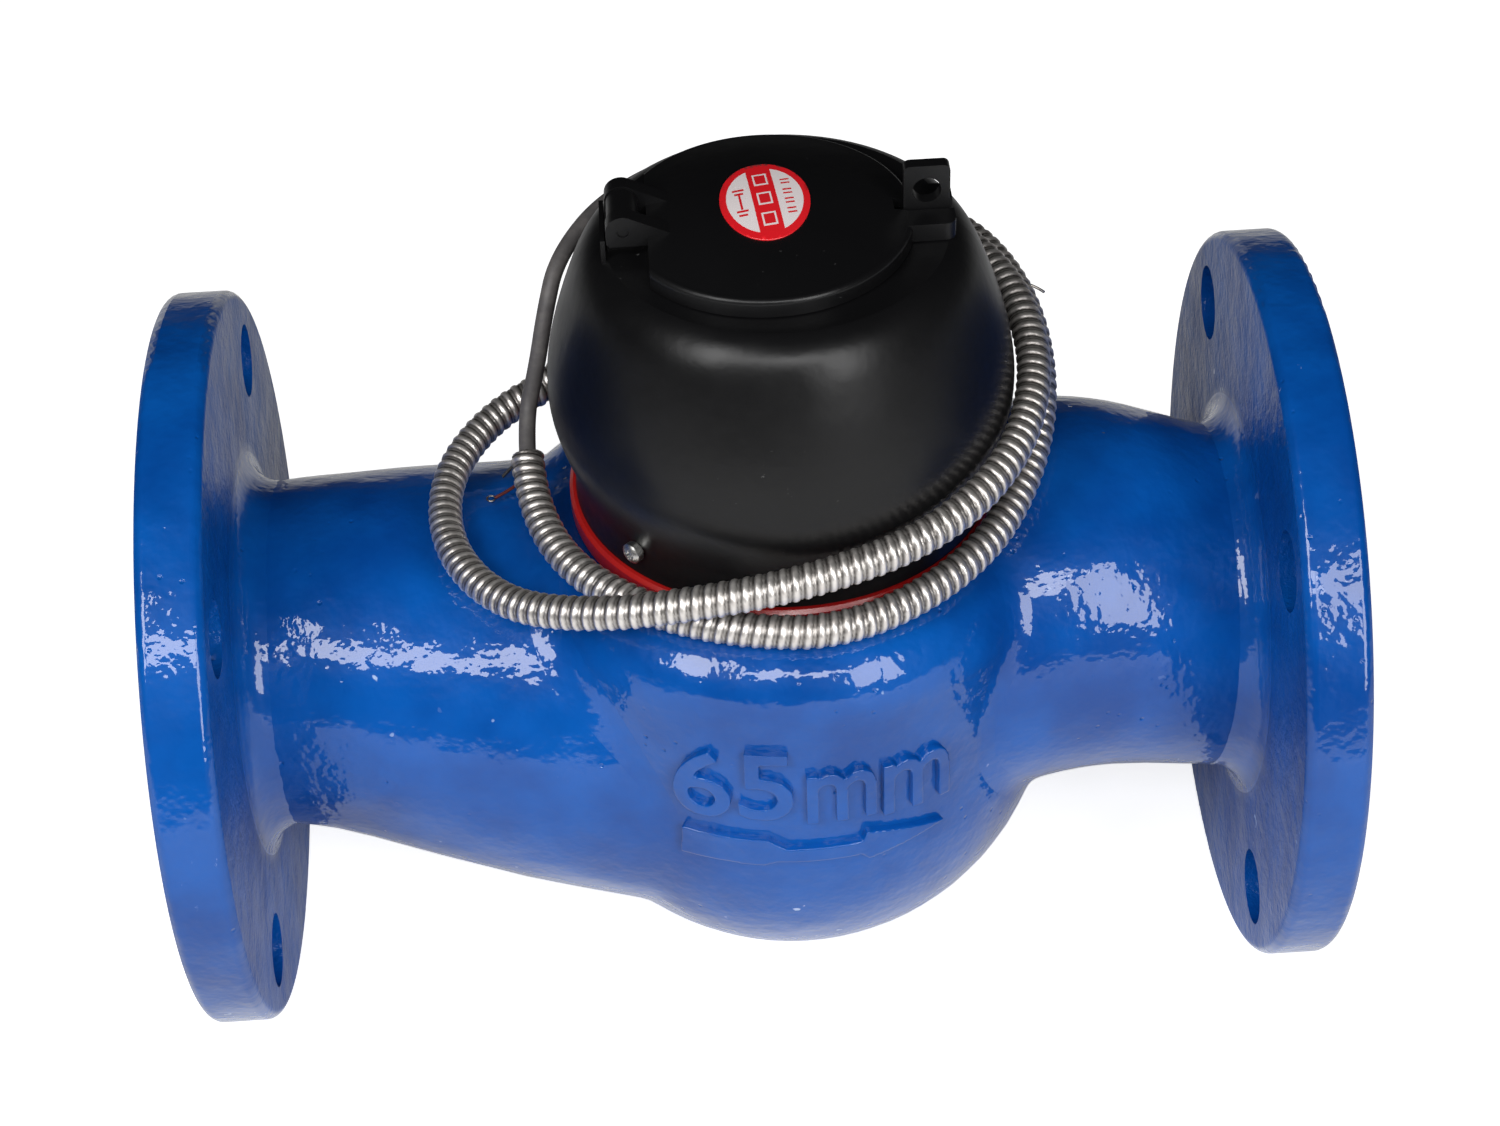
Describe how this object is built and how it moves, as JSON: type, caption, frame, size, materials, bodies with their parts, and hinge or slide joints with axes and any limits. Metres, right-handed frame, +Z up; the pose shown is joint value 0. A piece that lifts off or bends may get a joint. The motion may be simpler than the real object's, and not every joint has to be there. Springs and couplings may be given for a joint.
{
  "type": "flanged water meter",
  "caption": "Flanged bulk water meter with domed register cover, hinged hasp lid, vane impeller, magnetic drive, gear train, drum counter and pulse output in steel conduit",
  "frame": {"origin": "centre of the inlet flange's raised sealing face, on the pipe axis", "axes": "+X along the pipe from inlet to outlet, +Z up along the register, +Y completes a right-handed frame and points to the back, away from the raised size mark"},
  "size_m": [0.272, 0.178, 0.2205],
  "materials": {
    "bezel_steel": "thin stainless band",
    "board_green": "green circuit board",
    "cable_grey": "grey cable sheath",
    "can_steel": "drawn steel sheet",
    "cast_blue": "glossy royal blue enamel over cast iron",
    "conduit_steel": "interlocked stainless strip",
    "cover_black": "black satin moulding",
    "dial_white": "white printed plate",
    "drum_black": "black moulded drum",
    "ferrule_steel": "turned steel sleeve",
    "gear_cream": "cream acetal",
    "impeller_plastic": "off-white moulded plastic",
    "lens_glass": "clear glass",
    "lid_black": "black satin moulding",
    "magnet_grey": "dark sintered magnet",
    "plate_brass": "turned brass",
    "pointer_red": "red moulded plastic",
    "ring_red": "red moulded plastic",
    "screw_steel": "plain stainless",
    "seal_rubber": "black sealing rubber",
    "sensor_grey": "potted grey case",
    "shaft_steel": "ground stainless",
    "sticker_paper": "round red and white label",
    "strainer_steel": "stainless sheet",
    "train_white": "natural white acetal",
    "wet_plastic": "dark grey moulded plastic",
    "wire_black": "black insulation",
    "wire_blue": "blue insulation",
    "wire_brown": "dark red insulation"
  },
  "bodies": {
    "housing": {"black_wire": "wire_black", "blue_wire": "wire_blue", "brown_wire": "wire_brown", "chamber_cover": "wet_plastic", "chamber_gasket": "seal_rubber", "conduit": "conduit_steel", "conduit_ferrule": "ferrule_steel", "counter_frame": "can_steel", "cover_screws": "screw_steel", "dial_plate": "dial_white", "dome_cover": "cover_black", "drum_shaft": "shaft_steel", "hinge_pin": "screw_steel", "lens": "lens_glass", "lens_bezel": "bezel_steel", "lens_seal": "seal_rubber", "locking_ring": "ring_red", "measuring_chamber": "wet_plastic", "meter_body": "cast_blue", "pivot_pin": "shaft_steel", "plate_seal": "seal_rubber", "pressure_plate": "plate_brass", "register_can": "can_steel", "sensor_board": "board_green", "sensor_housing": "sensor_grey", "sensor_lead": "cable_grey", "signal_cable": "cable_grey", "strainer": "strainer_steel", "train_lower_plate": "train_white", "train_screws": "screw_steel", "train_upper_plate": "train_white"},
    "lid": {"lid": "lid_black", "inspection_sticker": "sticker_paper"},
    "impeller": {"impeller": "impeller_plastic", "impeller_shaft": "shaft_steel", "drive_magnet": "magnet_grey"},
    "spindle": {"register_spindle": "shaft_steel", "driven_magnet": "magnet_grey"},
    "star": {"star_wheel": "gear_cream", "leak_star": "pointer_red"},
    "idler_1": {"idler_wheel_1": "gear_cream"},
    "pointer_arbor_1": {"pointer_wheel_1": "gear_cream", "pointer_1": "pointer_red"},
    "idler_2": {"idler_wheel_2": "gear_cream"},
    "pointer_arbor_2": {"pointer_wheel_2": "gear_cream", "pointer_2": "pointer_red"},
    "idler_3": {"idler_wheel_3": "gear_cream"},
    "pointer_arbor_3": {"pointer_wheel_3": "gear_cream", "pointer_3": "pointer_red"},
    "idler_4": {"idler_wheel_4": "gear_cream"},
    "pointer_arbor_4": {"pointer_wheel_4": "gear_cream", "pointer_4": "pointer_red"},
    "drum_1": {"number_drum_1": "drum_black"},
    "drum_2": {"number_drum_2": "drum_black"},
    "drum_3": {"number_drum_3": "drum_black"},
    "drum_4": {"number_drum_4": "drum_black"},
    "drum_5": {"number_drum_5": "drum_black"}
  },
  "joints": [
    {"name": "lid_hinge", "type": "hinge", "parent": "housing", "child": "lid", "pos_m": [0.1122, 0, 0.1233], "axis": [0, -1, 0], "range_deg": [0, 175]},
    {"name": "impeller_spin", "type": "hinge", "parent": "housing", "child": "impeller", "pos_m": [0.146, 0, 0], "axis": [0, 0, 1], "continuous": true},
    {"name": "spindle_spin", "type": "hinge", "parent": "housing", "child": "spindle", "pos_m": [0.146, 0, 0.06], "axis": [0, 0, 1], "continuous": true},
    {"name": "star_spin", "type": "hinge", "parent": "housing", "child": "star", "pos_m": [0.14408, -0.00526, 0.075], "axis": [0, 0, 1], "continuous": true},
    {"name": "idler_1_spin", "type": "hinge", "parent": "housing", "child": "idler_1", "pos_m": [0.14006, 0.00854, 0.075], "axis": [0, 0, 1], "continuous": true},
    {"name": "pointer_arbor_1_spin", "type": "hinge", "parent": "housing", "child": "pointer_arbor_1", "pos_m": [0.13096, 0.00547, 0.075], "axis": [0, 0, 1], "continuous": true},
    {"name": "idler_2_spin", "type": "hinge", "parent": "housing", "child": "idler_2", "pos_m": [0.13078, -0.00493, 0.075], "axis": [0, 0, 1], "continuous": true},
    {"name": "pointer_arbor_2_spin", "type": "hinge", "parent": "housing", "child": "pointer_arbor_2", "pos_m": [0.13634, -0.01275, 0.075], "axis": [0, 0, 1], "continuous": true},
    {"name": "idler_3_spin", "type": "hinge", "parent": "housing", "child": "idler_3", "pos_m": [0.14622, -0.016, 0.075], "axis": [0, 0, 1], "continuous": true},
    {"name": "pointer_arbor_3_spin", "type": "hinge", "parent": "housing", "child": "pointer_arbor_3", "pos_m": [0.15534, -0.01299, 0.075], "axis": [0, 0, 1], "continuous": true},
    {"name": "idler_4_spin", "type": "hinge", "parent": "housing", "child": "idler_4", "pos_m": [0.16135, -0.00451, 0.075], "axis": [0, 0, 1], "continuous": true},
    {"name": "pointer_arbor_4_spin", "type": "hinge", "parent": "housing", "child": "pointer_arbor_4", "pos_m": [0.16117, 0.00509, 0.075], "axis": [0, 0, 1], "continuous": true},
    {"name": "drum_1_spin", "type": "hinge", "parent": "housing", "child": "drum_1", "pos_m": [0.146, 0.00505, 0.0889], "axis": [1, 0, 0], "continuous": true},
    {"name": "drum_2_spin", "type": "hinge", "parent": "housing", "child": "drum_2", "pos_m": [0.146, 0.00505, 0.0889], "axis": [1, 0, 0], "continuous": true},
    {"name": "drum_3_spin", "type": "hinge", "parent": "housing", "child": "drum_3", "pos_m": [0.146, 0.00505, 0.0889], "axis": [1, 0, 0], "continuous": true},
    {"name": "drum_4_spin", "type": "hinge", "parent": "housing", "child": "drum_4", "pos_m": [0.146, 0.00505, 0.0889], "axis": [1, 0, 0], "continuous": true},
    {"name": "drum_5_spin", "type": "hinge", "parent": "housing", "child": "drum_5", "pos_m": [0.146, 0.00505, 0.0889], "axis": [1, 0, 0], "continuous": true}
  ],
  "couplings": [
    {"joint": "spindle_spin", "follows": "impeller_spin", "ratio": 1},
    {"joint": "star_spin", "follows": "impeller_spin", "ratio": -0.75},
    {"joint": "idler_1_spin", "follows": "impeller_spin", "ratio": -0.3},
    {"joint": "pointer_arbor_1_spin", "follows": "impeller_spin", "ratio": 0.1},
    {"joint": "idler_2_spin", "follows": "impeller_spin", "ratio": -0.03},
    {"joint": "pointer_arbor_2_spin", "follows": "impeller_spin", "ratio": 0.01},
    {"joint": "idler_3_spin", "follows": "impeller_spin", "ratio": -0.003},
    {"joint": "pointer_arbor_3_spin", "follows": "impeller_spin", "ratio": 0.001},
    {"joint": "idler_4_spin", "follows": "impeller_spin", "ratio": -0.0003},
    {"joint": "pointer_arbor_4_spin", "follows": "impeller_spin", "ratio": 0.0001},
    {"joint": "drum_1_spin", "follows": "impeller_spin", "ratio": -0.0001},
    {"joint": "drum_2_spin", "follows": "impeller_spin", "ratio": -0.00001},
    {"joint": "drum_3_spin", "follows": "impeller_spin", "ratio": -0.000001},
    {"joint": "drum_4_spin", "follows": "impeller_spin", "ratio": -0.0000001},
    {"joint": "drum_5_spin", "follows": "impeller_spin", "ratio": -0.00000001}
  ]
}
